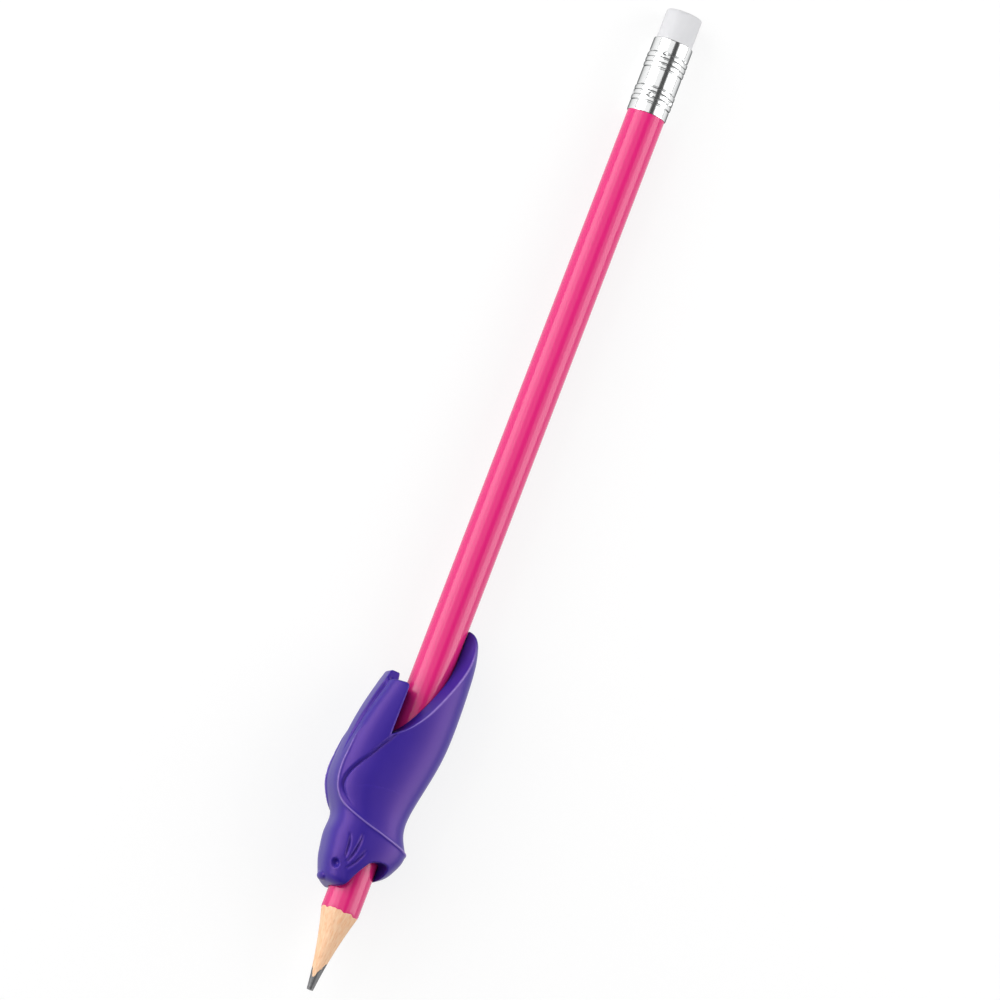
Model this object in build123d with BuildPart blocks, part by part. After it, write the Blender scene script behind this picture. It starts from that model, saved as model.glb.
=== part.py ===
"""A soft moulded animal grip on a round, sharpened wooden pencil with a ferrule and an eraser.

Millimetres. X runs along the pencil from the point (0) to the eraser, Y points to the animal's
nape and nose, and Z points out of one flank. The grip is a mirror image about Z = 0.
"""
from build123d import *

import math
import os

os.makedirs("parts", exist_ok=True)

# Pencil
pencil_length = 190.0
barrel_diameter = 7.0
lacquer_thickness = 0.12
lead_diameter = 2.2
point_length = 15.2
point_hollow = 0.35
tip_diameter = 1.2

# Ferrule and eraser
ferrule_length = 14.0
ferrule_wall = 0.28
ferrule_stand = 0.16
tenon_length = 7.0
ferrule_clearance = 0.02
eraser_stand = 5.8
eraser_gap = 0.1
eraser_edge_radius = 0.5

# Rolled beads and prick marks of the ferrule
bead_count = 3
bead_pitch = 0.95
bead_height = 0.12
lower_bead_margin = 2.0
upper_bead_margin = 2.7
prick_count = 5
prick_radius = 0.6
prick_depth = 0.3
prick_turn = -10.5
lower_prick_margin = 3.2
upper_prick_margin = 2.8

# Grip: place on the pencil and bore
grip_start = 18.7
bore_clearance = 0.08

# Fullness of the grip's sections: the handles of their curves, as shares of the side reach at the
# front and the back, and as shares of the front and back reaches at the flank
front_handle = 0.88
front_shoulder = 0.87
back_handle = 0.68
back_shoulder = 0.6

# Each grip section: distance above the lip, then the reach of the front, the back and each side
# from the pencil axis
grip_sections = [
    (0.0, 4.8, 2.6, 3.2),  # lip
    (0.6, 5.7, 3.0, 4.2),  # nose
    (2.3, 6.4, 3.1, 5.1),  # muzzle
    (4.3, 7.0, 4.8, 5.7),  # eyes
    (6.5, 7.4, 6.4, 6.1),  # cheeks
    (9.5, 7.75, 7.25, 6.4),  # back bump
    (12.5, 7.8, 5.8, 6.1),  # nape
    (15.0, 9.1, 5.25, 5.9),  # neck
    (17.9, 10.5, 5.5, 6.0),  # shoulder
    (22.1, 10.8, 6.3, 6.2),  # ear roots
    (28.7, 10.05, 7.45, 6.4),  # finger seat
    (35.7, 8.55, 7.75, 6.5),  # ears
    (42.7, 6.4, 7.3, 6.1),  # ear tips
    (48.5, 5.2, 6.4, 5.4),  # tail
    (51.9, 4.8, 5.2, 4.4),  # tail tip
]

# Finger seat: how far each flank is drawn in behind the ear and above the head, and the edge of
# that seat from the notch round the ear root to the back bump, as height above the lip and reach
seat_depth = 0.45
seat_edge = [(28.9, 4.6), (24.3, 6.9), (19.3, 9.2), (16.3, 9.1), (13.6, 6.3), (11.9, 1.6), (9.6, -7.5)]

# Notch between the ears and the tail, at the middle of the grip and at the flanks. It opens
# towards the flanks, which leaves a sloping rim round the tail.
notch_root = 30.4
notch_root_flank = 28.7
notch_reach = 3.3
notch_reach_flank = 4.7
tail_rim = (40.8, -0.4)
tail_rim_flank = (37.6, -2.6)
tail_rim_end_reach = -3.2
tail_rim_end_reach_flank = -9.5
ear_length = 40.2
ear_length_flank = 37.8
flank_reach = 7.0
cut_margin = 1.0

# Cut under the chin, with the arch that bares the barrel between the chin and the back lobe. The
# lobe's wall leans out from the barrel towards the flank.
chin_height = 0.0
chin_reach = 3.0
arch_height = 6.3
arch_front_reach = -0.5
arch_back_reach = -2.9
arch_back_reach_flank = -4.9
arch_radius = 1.3

# Trough between each ear and the ridge of the nape, with its walls' angles towards the ridge and
# towards the ear
trough_start = 23.7
trough_start_reach = 10.6
trough_end_reach = 6.5
trough_side = 2.6
trough_inner_angle = 40.0
trough_outer_angle = 65.0

# Nose and eyes
nose_height = 0.9
nose_reach = 5.6
nose_radius = 0.95
eye_height = 3.5
eye_reach = 5.5
eye_side = 4.0
eye_radius = 0.55
eye_depth = 0.9
eye_turn = -50.0

# Derived sizes
barrel_radius = barrel_diameter / 2
wood_radius = barrel_radius - lacquer_thickness
lead_radius = lead_diameter / 2
tip_radius = tip_diameter / 2
ferrule_end = pencil_length - eraser_stand
ferrule_start = ferrule_end - ferrule_length
ferrule_outer = barrel_radius + ferrule_stand
ferrule_inner = ferrule_outer - ferrule_wall
plug_radius = ferrule_inner - ferrule_clearance
tenon_end = ferrule_start + tenon_length
eraser_start = tenon_end + eraser_gap
bead_run = bead_count * bead_pitch
bead_starts = [ferrule_start + lower_bead_margin, ferrule_end - upper_bead_margin - bead_run]
prick_places = [ferrule_start + lower_prick_margin, ferrule_end - upper_prick_margin]
prick_reach = prick_depth + ferrule_wall + ferrule_clearance + bead_height
bore_radius = barrel_radius + bore_clearance

# A curve with six handles stands at its side reach half-way round with this handle at the flank
flank_handle = (32 - 5 * (front_handle + back_handle)) / 20
grip_end = grip_start + grip_sections[-1][0]
grip_reach = max(max(front, back, side) for _, front, back, side in grip_sections)

# Half outline of the pencil below the ferrule, with the hollow flank of the sharpened point
with BuildSketch() as sharpened:
    with BuildLine():
        Polyline(
            (point_length, barrel_radius),
            (tenon_end, barrel_radius),
            (tenon_end, 0),
            (0, 0),
            (0, tip_radius),
        )
        ThreePointArc(
            (0, tip_radius),
            (point_length / 2, (tip_radius + barrel_radius) / 2 - point_hollow),
            (point_length, barrel_radius),
        )
    make_face()


def prick_cones(apex_radius):
    """Two rings of cones that point inwards, one cone at each prick mark of the ferrule."""
    with BuildPart() as cones:
        for place in prick_places:
            with Locations(Plane.YZ.offset(place)):
                with PolarLocations(apex_radius, prick_count, prick_turn):
                    Cone(
                        0,
                        prick_reach * prick_radius / prick_depth,
                        prick_reach,
                        rotation=(0, 90, 0),
                        align=(Align.CENTER, Align.CENTER, Align.MIN),
                    )
    return cones.part


prick_dents = prick_cones(ferrule_outer - prick_depth)
prick_seats = prick_cones(ferrule_inner - prick_depth - ferrule_clearance)

# Metal pushed inwards at each prick mark
with BuildPart() as prick_bumps:
    add(prick_cones(ferrule_inner - prick_depth))
    with BuildSketch(Plane.YZ):
        Circle(ferrule_outer)
    extrude(amount=pencil_length, mode=Mode.INTERSECT)

# Graphite core
with BuildPart() as graphite_core:
    with BuildSketch():
        add(sharpened.sketch)
        Rectangle(2 * pencil_length, lead_diameter, mode=Mode.INTERSECT)
    revolve(axis=Axis.X)

# Wooden casing: two grooved halves glued round the core, turned down to a tenon for the ferrule
with BuildSketch() as casing_profile:
    with BuildLine():
        Polyline(
            (0, lead_radius),
            (tenon_end, lead_radius),
            (tenon_end, plug_radius),
            (ferrule_start, plug_radius),
            (ferrule_start, wood_radius),
            (0, wood_radius),
            close=True,
        )
    make_face()
    add(sharpened.sketch, mode=Mode.INTERSECT)

with BuildPart() as casing_half_upper:
    revolve(casing_profile.sketch, axis=Axis.X, revolution_arc=180)
    add(prick_seats, mode=Mode.SUBTRACT)

with BuildPart() as casing_half_lower:
    revolve(casing_profile.sketch, axis=Axis.X, revolution_arc=-180)
    add(prick_seats, mode=Mode.SUBTRACT)

# Lacquer: a thin coat on the barrel, cut back to a feather edge by the sharpened point
with BuildPart() as lacquer_coat:
    with BuildSketch():
        with BuildLine():
            Polyline(
                (0, wood_radius),
                (ferrule_start, wood_radius),
                (ferrule_start, barrel_radius),
                (0, barrel_radius),
                close=True,
            )
        make_face()
        add(sharpened.sketch, mode=Mode.INTERSECT)
    revolve(axis=Axis.X)

# Ferrule: a rolled tube with two groups of beads and two rings of prick marks
with BuildPart() as ferrule:
    with BuildSketch():
        with BuildLine():
            reached = ferrule_start
            for bead_start in bead_starts:
                Line((reached, ferrule_outer), (bead_start, ferrule_outer))
                for bead in range(bead_count):
                    foot = bead_start + bead * bead_pitch
                    Polyline(
                        (foot, ferrule_outer),
                        (foot + bead_pitch / 2, ferrule_outer + bead_height),
                        (foot + bead_pitch, ferrule_outer),
                    )
                reached = bead_start + bead_run
            Polyline(
                (reached, ferrule_outer),
                (ferrule_end, ferrule_outer),
                (ferrule_end, ferrule_inner),
                (ferrule_start, ferrule_inner),
                (ferrule_start, ferrule_outer),
            )
        make_face()
    revolve(axis=Axis.X)
    add(prick_bumps.part)
    add(prick_dents, mode=Mode.SUBTRACT)

# Eraser
with BuildPart() as eraser:
    with BuildSketch(Plane.YZ.offset(eraser_start)):
        Circle(plug_radius)
    extrude(amount=pencil_length - eraser_start)
    fillet(eraser.edges().sort_by(Axis.X)[-1], eraser_edge_radius)
    add(prick_seats, mode=Mode.SUBTRACT)


def grip_sleeve(draw_in, swell):
    """Solid sleeve lofted through the grip's sections.

    Its sides are drawn in by draw_in, and its front and back stand out by swell.
    """
    with BuildPart() as sleeve:
        for at, front, back, side in grip_sections:
            front_reach = front + swell
            back_reach = back + swell
            side_reach = side - draw_in
            with BuildSketch(Plane.YZ.offset(grip_start + at)):
                with BuildLine():
                    Bezier(
                        (front_reach, 0),
                        (front_reach, front_handle * side_reach),
                        (front_shoulder * front_reach, flank_handle * side_reach),
                        (-back_shoulder * back_reach, flank_handle * side_reach),
                        (-back_reach, back_handle * side_reach),
                        (-back_reach, 0),
                    )
                    mirror(about=Plane.XZ)
                make_face()
        loft()
    return sleeve.part


# Finger seat: what is taken off one flank
with BuildPart() as finger_seat:
    with BuildSketch():
        with BuildLine():
            edge = [(grip_start + at, reach) for at, reach in seat_edge]
            Spline(*edge)
            Polyline(
                edge[-1],
                (edge[-1][0], -grip_reach - cut_margin),
                (grip_end + cut_margin, -grip_reach - cut_margin),
                (grip_end + cut_margin, edge[0][1]),
                edge[0],
            )
        make_face()
    extrude(amount=grip_reach)
    add(grip_sleeve(seat_depth, seat_depth), mode=Mode.SUBTRACT)

# Half of the notch, wider at the flank than at the middle
with BuildPart() as notch:
    for level, root, reach, rim, rim_end, ear in [
        (0, notch_root, notch_reach, tail_rim, tail_rim_end_reach, ear_length),
        (
            flank_reach,
            notch_root_flank,
            notch_reach_flank,
            tail_rim_flank,
            tail_rim_end_reach_flank,
            ear_length_flank,
        ),
    ]:
        with BuildSketch(Plane.XY.offset(level)):
            with BuildLine():
                root_point = (grip_start + root, reach)
                rim_point = (grip_start + rim[0], rim[1])
                end_point = (grip_end + cut_margin, rim_end)
                ThreePointArc(root_point, rim_point, end_point)
                Polyline(
                    end_point,
                    (grip_end + cut_margin, grip_reach + cut_margin),
                    (grip_start + ear, grip_reach + cut_margin),
                    (grip_start + ear, reach),
                    root_point,
                )
            make_face()
    loft(ruled=True)

# Half of the cut under the chin, with the arch
with BuildPart() as chin:
    for level, back_reach in [(0, arch_back_reach), (flank_reach, arch_back_reach_flank)]:
        with BuildSketch(Plane.XY.offset(level)) as chin_outline:
            with BuildLine():
                Polyline(
                    (grip_start - grip_reach, chin_reach),
                    (grip_start + chin_height, chin_reach),
                    (grip_start + arch_height, arch_front_reach),
                    (grip_start + arch_height, back_reach),
                    (grip_start - grip_reach, back_reach),
                    close=True,
                )
            make_face()
            fillet(chin_outline.vertices().group_by(Axis.X)[-1], arch_radius)
    loft(ruled=True)

# Grip: half of the sleeve and the nose, cut by the seat, notch, chin, trough, eye and bore, and
# then mirrored
with BuildPart() as grip:
    add(grip_sleeve(0, 0))
    with Locations((grip_start + nose_height, nose_reach, 0)):
        Sphere(nose_radius)
    split(bisect_by=Plane.XY)
    add(finger_seat.part, mode=Mode.SUBTRACT)
    add(notch.part, mode=Mode.SUBTRACT)
    add(chin.part, mode=Mode.SUBTRACT)

    # Trough between the ear and the ridge of the nape: a V whose floor falls towards the ear's tip
    trough_run = Vector(ear_length - trough_start, trough_end_reach - trough_start_reach)
    trough_plane = Plane(
        origin=(grip_start + trough_start, trough_start_reach, trough_side),
        x_dir=(-trough_run.Y, trough_run.X, 0),
        z_dir=trough_run,
    )
    with BuildSketch(trough_plane):
        with BuildLine():
            inner_side = grip_reach * math.tan(math.radians(trough_inner_angle))
            outer_side = grip_reach * math.tan(math.radians(trough_outer_angle))
            Polyline((0, 0), (grip_reach, -inner_side), (grip_reach, outer_side), close=True)
        make_face()
    extrude(amount=trough_run.length + cut_margin, both=True, mode=Mode.SUBTRACT)

    # Eye: a round dimple, square to the flank
    with Locations((grip_start + eye_height, eye_reach, eye_side)):
        Cylinder(eye_radius, eye_depth, rotation=(eye_turn, 0, 0), mode=Mode.SUBTRACT)

    # Bore
    with BuildSketch(Plane.YZ):
        Circle(bore_radius)
    extrude(amount=pencil_length, mode=Mode.SUBTRACT)

    mirror(about=Plane.XY)

for piece, name in [
    (graphite_core, "graphite_core"),
    (casing_half_upper, "casing_half_upper"),
    (casing_half_lower, "casing_half_lower"),
    (lacquer_coat, "lacquer_coat"),
    (ferrule, "ferrule"),
    (eraser, "eraser"),
    (grip, "grip"),
]:
    piece.part.label = name
    export_step(piece.part, f"parts/{name}.step")
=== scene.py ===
"""A round pencil with a soft moulded animal grip on it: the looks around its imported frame.

Sizes are in millimetres, along the frame's axes: X runs from the writing tip to the eraser, Y points to
the animal's ears and Z to the flank that the camera sees. A mesh is turned to metres as it is made.
"""

import logging
import math
from abc import ABC, abstractmethod
from collections.abc import Sequence
from dataclasses import dataclass
from enum import Enum
from typing import ClassVar

import bpy
import numpy as np
import openvdb
from mathutils import Matrix, Vector


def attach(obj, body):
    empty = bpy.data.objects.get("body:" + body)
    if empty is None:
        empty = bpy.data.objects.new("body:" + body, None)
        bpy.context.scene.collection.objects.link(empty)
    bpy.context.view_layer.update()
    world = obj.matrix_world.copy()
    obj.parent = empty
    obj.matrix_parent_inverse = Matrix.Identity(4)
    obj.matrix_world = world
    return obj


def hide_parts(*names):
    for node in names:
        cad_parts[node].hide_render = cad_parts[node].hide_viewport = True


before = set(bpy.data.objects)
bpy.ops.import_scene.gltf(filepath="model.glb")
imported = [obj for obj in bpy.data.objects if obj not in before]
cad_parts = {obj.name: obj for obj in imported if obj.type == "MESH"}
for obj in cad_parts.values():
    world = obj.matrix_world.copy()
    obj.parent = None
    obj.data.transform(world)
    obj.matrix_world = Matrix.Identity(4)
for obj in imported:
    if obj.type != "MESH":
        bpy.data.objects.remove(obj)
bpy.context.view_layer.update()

log = logging.getLogger("pencil")

MM = 0.001

# Mesh attribute that tells the finish where the tops of the grip's ribs are, where it paints a highlight
CREST = "crest"

Colour = tuple[float, float, float, float]
Triple = tuple[float, float, float]
Table = tuple[tuple[float, ...], ...]


# Small tools

def srgb(code: str) -> Colour:
    """Turns a colour as it is written into the linear one that Blender works with.

    Args:
        code: sRGB colour as six hex digits.

    Returns:
        Linear red, green and blue, and an alpha of 1.
    """
    parts = [int(code[at:at + 2], 16) / 255 for at in (0, 2, 4)]
    linear = [p / 12.92 if p <= 0.04045 else ((p + 0.055) / 1.055) ** 2.4 for p in parts]
    return (linear[0], linear[1], linear[2], 1.0)


def per_metre(spacing: float) -> float:
    """Texture scale at which a pattern repeats about every spacing millimetres."""
    return 1 / (spacing * MM)


def add_node(tree: bpy.types.NodeTree, kind: str, inputs: dict[str | int, object] | None = None,
             **settings: object) -> bpy.types.Node:
    """Adds a node with its settings and links.

    Args:
        tree: Node tree that the node joins.
        kind: Blender's name for the node.
        inputs: For each input, by name or number, what feeds it: a socket, a node (its first output in
            use) or a fixed value.
        **settings: The node's own properties.

    Returns:
        The new node.
    """
    node = tree.nodes.new(kind)
    for name, value in settings.items():
        setattr(node, name, value)
    for key, value in (inputs or {}).items():
        named = [socket for socket in node.inputs if socket.enabled and socket.name == key]
        socket = named[0] if named else node.inputs[key]
        if isinstance(value, bpy.types.Node):
            value = next(output for output in value.outputs if output.enabled)
        if isinstance(value, bpy.types.NodeSocket):
            tree.links.new(value, socket)
        else:
            socket.default_value = value
    return node


def mesh_piece(name: str, points: np.ndarray, faces: Sequence[Sequence[int]],
               crease: float = 180.0) -> bpy.types.Object:
    """Makes a smooth mesh object from points in millimetres.

    Args:
        name: The object's name.
        points: One row of three coordinates for each vertex.
        faces: Vertex numbers of each face.
        crease: Angle between two faces above which their edge stays sharp, in degrees.

    Returns:
        The object, linked to the scene.
    """
    mesh = bpy.data.meshes.new(name)
    mesh.from_pydata((points * MM).tolist(), [], faces)
    mesh.validate()
    mesh.shade_smooth()
    mesh.set_sharp_from_angle(angle=math.radians(crease))
    piece = bpy.data.objects.new(name, mesh)
    bpy.context.scene.collection.objects.link(piece)
    return piece


def place(piece: bpy.types.Object, body: str, material: bpy.types.Material, node: str) -> None:
    """Dresses a piece and sets it on the frame in place of a node.

    Args:
        piece: The finished mesh.
        body: Body that it rides on.
        material: Its finish.
        node: The node that it stands for.
    """
    piece.data.materials.append(material)
    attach(piece, body)
    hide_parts(node)
    log.info("%s: %d faces in %s", piece.name, len(piece.data.polygons), material.name)


def smooth_max(first: np.ndarray, second: np.ndarray, blend: float) -> np.ndarray:
    """The larger of two fields, rounded over a blend width where they cross."""
    share = np.clip(0.5 + 0.5 * (first - second) / blend, 0, 1)
    return second + (first - second) * share + blend * share * (1 - share)


def smooth_min(first: np.ndarray, second: np.ndarray, blend: float) -> np.ndarray:
    """The smaller of two fields, filleted over a blend width where they cross."""
    return -smooth_max(-first, -second, blend)


def smooth_step(value: np.ndarray) -> np.ndarray:
    """Eases from 0 to 1 as value goes from 0 to 1."""
    share = np.clip(value, 0, 1)
    return share * share * (3 - 2 * share)


def spline_slopes(at: np.ndarray, values: np.ndarray) -> np.ndarray:
    """Slopes of the natural cubic spline through values.

    Args:
        at: Stations, rising.
        values: One row of values for each station.

    Returns:
        One row of slopes for each station.
    """
    count = len(at)
    gap = np.diff(at)
    rise = np.diff(values, axis=0) / gap[:, None]
    matrix = np.zeros((count, count))
    right = np.zeros_like(values)
    matrix[0, :2] = (2, 1)
    right[0] = 3 * rise[0]
    matrix[-1, -2:] = (1, 2)
    right[-1] = 3 * rise[-1]
    for k in range(1, count - 1):
        matrix[k, k - 1:k + 2] = (gap[k], 2 * (gap[k] + gap[k - 1]), gap[k - 1])
        right[k] = 3 * (gap[k] * rise[k - 1] + gap[k - 1] * rise[k])
    return np.linalg.solve(matrix, right)


def spline(at: np.ndarray, values: np.ndarray, where: np.ndarray) -> np.ndarray:
    """Smooth curve through values, read at many places.

    Args:
        at: Stations, rising.
        values: One row of values for each station.
        where: Places to read the curve at, held within the stations.

    Returns:
        One row of values for each place.
    """
    slopes = spline_slopes(at, values)
    where = np.clip(where, at[0], at[-1])
    span = np.clip(np.searchsorted(at, where, side="right") - 1, 0, len(at) - 2)
    gap = (at[span + 1] - at[span])[..., None]
    share = (where - at[span])[..., None] / gap
    left = share * (1 - share) ** 2
    right = share ** 2 * (share - 1)
    ease = share ** 2 * (3 - 2 * share)
    held = values[span] * (1 - ease) + values[span + 1] * ease
    return held + gap * (slopes[span] * left + slopes[span + 1] * right)


def smooth_path(points: Sequence[Triple], steps: int) -> np.ndarray:
    """Samples a smooth curve through a few points.

    Args:
        points: The points that the curve passes through.
        steps: How many samples to take.

    Returns:
        The samples, evenly spaced by chord length.
    """
    knots = np.array(points, float)
    run = np.concatenate([[0], np.cumsum(np.linalg.norm(np.diff(knots, axis=0), axis=1))])
    return spline(run, knots, np.linspace(0, run[-1], steps))


def waves(angles: np.ndarray, parts: Table) -> np.ndarray:
    """Sum of sine waves round a turn, each given by its height, how many there are and its phase."""
    return sum(height * np.sin(count * angles + phase) for height, count, phase in parts)


def profile_at(angles: np.ndarray, rows: Sequence[tuple]) -> np.ndarray:
    """Lays out the points of a profile for each angle.

    Args:
        angles: Angles about X.
        rows: Station and radius of each point, either as one number or as one for each angle.

    Returns:
        For each angle, the profile's points as station and radius.
    """
    return np.stack([np.stack(np.broadcast_arrays(*row, angles)[:2], axis=-1) for row in rows], axis=1)


def turned(profiles: np.ndarray, angles: np.ndarray,
           closed_turn: bool) -> tuple[np.ndarray, list[tuple[int, ...]]]:
    """Turns a closed profile about the X axis, where the profile may change with the angle.

    Args:
        profiles: For each angle, the profile's points as station and radius.
        angles: Angles about X, from +Y towards +Z, in radians.
        closed_turn: Whether the last angle joins the first; if not, the two ends are faced.

    Returns:
        The points and the faces.
    """
    turns, count = profiles.shape[:2]
    station, radius = profiles[..., 0], profiles[..., 1]
    across = np.cos(angles)[:, None] * radius
    up = np.sin(angles)[:, None] * radius
    points = np.stack([station, across, up], axis=-1).reshape(-1, 3)
    faces = []
    for turn in range(turns if closed_turn else turns - 1):
        here, there = turn * count, (turn + 1) % turns * count
        for k in range(count):
            after = (k + 1) % count
            faces.append((here + k, there + k, there + after, here + after))
    if not closed_turn:
        last = (turns - 1) * count
        faces.append(tuple(range(count)))
        faces.append(tuple(last + k for k in reversed(range(count))))
    return points, faces


# Finishes

class Finish(ABC):
    """A material and how its surface was made, as nodes that a piece can wear.

    The sizes and heights of patterns are in millimetres. A stretch is a pattern's scale along X, Y and Z,
    where less than 1 draws it out.
    """

    name: ClassVar[str]

    @abstractmethod
    def surface(self, tree: bpy.types.NodeTree) -> bpy.types.Node:
        """Adds the finish's nodes.

        Args:
            tree: The material's empty node tree.

        Returns:
            The shader's node.
        """

    def material(self) -> bpy.types.Material:
        """Builds the finish.

        Returns:
            A new material with its nodes.
        """
        material = bpy.data.materials.new(self.name)
        material.use_nodes = True
        tree = material.node_tree
        tree.nodes.clear()
        add_node(tree, "ShaderNodeOutputMaterial", {"Surface": self.surface(tree)})
        return material


@dataclass(frozen=True)
class MouldedElastomer(Finish):
    """Thermoplastic elastomer, injection moulded: a satin skin with a fine grain, with a highlight painted
    along the tops of its ribs.
    """

    name: ClassVar[str] = "elastomer_moulded_satin"
    colour: str = "35258F"
    deep: str = "2F218A"
    bloom: str = "F2B4F4"
    # Painted highlight: the pale colour put on the tops of the ribs, its most share, and the rib share where
    # it starts
    wear_and_painted_highlight: str = "A58CD2"
    highlight_share: float = 0.75
    highlight_from: float = 0.3
    cloud: float = 6.0
    grain: float = 0.22
    grain_height: float = 0.02
    roughness: tuple[float, float] = (0.30, 0.40)

    def surface(self, tree: bpy.types.NodeTree) -> bpy.types.Node:
        """Adds the nodes: its grain is drawn coarser than the real one, which is too fine to show.

        Args:
            tree: The material's empty node tree.

        Returns:
            The shader's node.
        """
        where = add_node(tree, "ShaderNodeTexCoord").outputs["Object"]
        cloud = add_node(tree, "ShaderNodeTexNoise",
                         {"Vector": where, "Scale": per_metre(self.cloud), "Detail": 3.0})
        tint = add_node(tree, "ShaderNodeMix",
                        {"Factor": cloud, "A": srgb(self.colour), "B": srgb(self.deep)}, data_type="RGBA")
        # Painted highlight: the skin turns towards a pale lilac near the tops of the ribs
        crest = add_node(tree, "ShaderNodeAttribute", attribute_name=CREST)
        highlight_share = add_node(tree, "ShaderNodeMapRange",
                       {"Value": crest.outputs["Fac"], "From Min": self.highlight_from, "To Max": self.highlight_share})
        skin = add_node(tree, "ShaderNodeMix",
                        {"Factor": highlight_share, "A": tint, "B": srgb(self.wear_and_painted_highlight)}, data_type="RGBA")
        grain = add_node(tree, "ShaderNodeTexNoise",
                         {"Vector": where, "Scale": per_metre(self.grain), "Detail": 2.0})
        rough = add_node(tree, "ShaderNodeMapRange",
                         {"Value": grain, "To Min": self.roughness[0], "To Max": self.roughness[1]})
        bump = add_node(tree, "ShaderNodeBump",
                        {"Height": grain, "Strength": 0.12, "Distance": self.grain_height * MM})
        return add_node(tree, "ShaderNodeBsdfPrincipled",
                        {"Base Color": skin, "Roughness": rough, "IOR": 1.5,
                         "Specular Tint": srgb(self.bloom), "Normal": bump})


@dataclass(frozen=True)
class DippedLacquer(Finish):
    """Nitrocellulose lacquer, drawn on in coats: deep even colour under a glossy, faintly rippled skin."""

    name: ClassVar[str] = "lacquer_dipped_gloss"
    colour: str = "DC2576"
    ripple: float = 1.6
    ripple_stretch: Triple = (0.06, 1.0, 1.0)
    ripple_height: float = 0.02
    tone: tuple[float, float] = (0.97, 1.03)
    roughness: float = 0.18

    def surface(self, tree: bpy.types.NodeTree) -> bpy.types.Node:
        """Adds the nodes: long ripples left by the drawing gaskets, and slight changes of tone.

        Args:
            tree: The material's empty node tree.

        Returns:
            The shader's node.
        """
        where = add_node(tree, "ShaderNodeTexCoord").outputs["Object"]
        along = add_node(tree, "ShaderNodeMapping", {"Vector": where, "Scale": self.ripple_stretch})
        ripple = add_node(tree, "ShaderNodeTexNoise",
                          {"Vector": along, "Scale": per_metre(self.ripple), "Detail": 2.0})
        value = add_node(tree, "ShaderNodeMapRange",
                         {"Value": ripple, "To Min": self.tone[0], "To Max": self.tone[1]})
        tone = add_node(tree, "ShaderNodeHueSaturation", {"Color": srgb(self.colour), "Value": value})
        bump = add_node(tree, "ShaderNodeBump",
                        {"Height": ripple, "Strength": 0.10, "Distance": self.ripple_height * MM})
        return add_node(tree, "ShaderNodeBsdfPrincipled",
                        {"Base Color": tone, "Roughness": self.roughness, "IOR": 1.5, "Normal": bump})


@dataclass(frozen=True)
class SharpenedBasswood(Finish):
    """Basswood cut by a sharpener: pale, dry wood with fine long grain, short pores and blade chatter."""

    name: ClassVar[str] = "basswood_sharpened"
    pale: str = "F9D3B0"
    dark: str = "F2BB90"
    pore: str = "C98F63"
    grain: float = 0.35
    grain_stretch: Triple = (0.07, 1.0, 1.0)
    grain_height: float = 0.05
    pore_stretch: Triple = (0.2, 1.0, 1.0)
    pore_most: float = 0.3
    chatter: float = 0.5
    chatter_stretch: Triple = (1.0, 0.15, 0.15)
    roughness: float = 0.75

    def surface(self, tree: bpy.types.NodeTree) -> bpy.types.Node:
        """Adds the nodes: the grain runs along the pencil and the blade's marks run round it.

        Args:
            tree: The material's empty node tree.

        Returns:
            The shader's node.
        """
        where = add_node(tree, "ShaderNodeTexCoord").outputs["Object"]
        along = add_node(tree, "ShaderNodeMapping", {"Vector": where, "Scale": self.grain_stretch})
        grain = add_node(tree, "ShaderNodeTexNoise",
                         {"Vector": along, "Scale": per_metre(self.grain), "Detail": 4.0, "Roughness": 0.6})
        share = add_node(tree, "ShaderNodeMapRange", {"Value": grain, "From Min": 0.35, "From Max": 0.65})
        wood = add_node(tree, "ShaderNodeMix",
                        {"Factor": share, "A": srgb(self.pale), "B": srgb(self.dark)}, data_type="RGBA")
        short = add_node(tree, "ShaderNodeMapping", {"Vector": where, "Scale": self.pore_stretch})
        pores = add_node(tree, "ShaderNodeTexNoise",
                         {"Vector": short, "Scale": per_metre(self.grain), "Detail": 1.0})
        pore_share = add_node(tree, "ShaderNodeMapRange",
                              {"Value": pores, "From Min": 0.64, "From Max": 0.78, "To Max": self.pore_most})
        spotted = add_node(tree, "ShaderNodeMix",
                           {"Factor": pore_share, "A": wood, "B": srgb(self.pore)}, data_type="RGBA")
        round_it = add_node(tree, "ShaderNodeMapping", {"Vector": where, "Scale": self.chatter_stretch})
        chatter = add_node(tree, "ShaderNodeTexNoise",
                           {"Vector": round_it, "Scale": per_metre(self.chatter), "Detail": 2.0})
        height = add_node(tree, "ShaderNodeMath", {0: grain, 1: chatter})
        bump = add_node(tree, "ShaderNodeBump",
                        {"Height": height, "Strength": 0.35, "Distance": self.grain_height * MM})
        return add_node(tree, "ShaderNodeBsdfPrincipled",
                        {"Base Color": spotted, "Roughness": self.roughness, "IOR": 1.45, "Normal": bump})


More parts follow.
